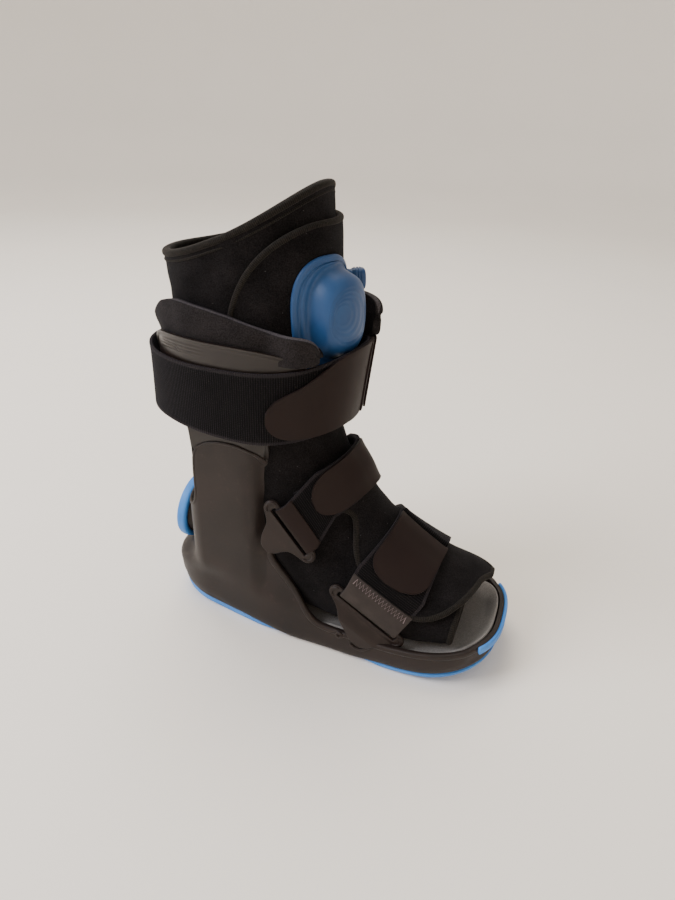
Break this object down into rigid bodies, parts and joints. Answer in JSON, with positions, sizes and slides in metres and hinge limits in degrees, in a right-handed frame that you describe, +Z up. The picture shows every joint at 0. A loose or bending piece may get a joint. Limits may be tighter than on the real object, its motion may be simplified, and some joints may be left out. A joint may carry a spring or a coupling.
{
  "type": "medical walking boot",
  "caption": "Walking boot for a hurt ankle or foot: rocker sole, hard shell with uprights, soft bootie, foam pads, hook-and-loop straps on buckles and an air pump.",
  "frame": {"origin": "on the ground, under the middle of the flat part of the rocker sole", "axes": "+X to the toe, +Z up along the leg, +Y to the side without the strap tips"},
  "size_m": [0.3338, 0.136, 0.388],
  "materials": {
    "shell_plastic": "satin moulded, warm dark brown-grey",
    "cuff_plastic": "glossy sheet, near black-brown",
    "rubber_blue": "matt blue rubber",
    "pump_rubber": "satin light blue rubber",
    "foam_felt": "brushed loop fabric over foam, near black",
    "insole_felt": "grey felt on foam",
    "loop_webbing": "ribbed loop webbing, black",
    "hook_tab": "smooth dark brown strap end"
  },
  "bodies": {
    "root": {"outsole": "rubber_blue", "shell": "shell_plastic", "heel_ring": "rubber_blue", "footbed": "insole_felt", "liner": "foam_felt", "front_flap": "foam_felt", "foot_flap": "foam_felt", "pad_near": "foam_felt", "pad_far": "foam_felt", "cuff_near": "cuff_plastic", "cuff_far": "cuff_plastic", "calf_strap": "loop_webbing", "calf_tab": "hook_tab", "instep_strap": "loop_webbing", "instep_tab": "hook_tab", "toe_strap": "loop_webbing", "toe_tab": "hook_tab", "instep_buckle_near": "shell_plastic", "instep_buckle_far": "shell_plastic", "toe_buckle_near": "shell_plastic", "toe_buckle_far": "shell_plastic", "pump": "pump_rubber", "release_valve": "pump_rubber"}
  },
  "joints": []
}
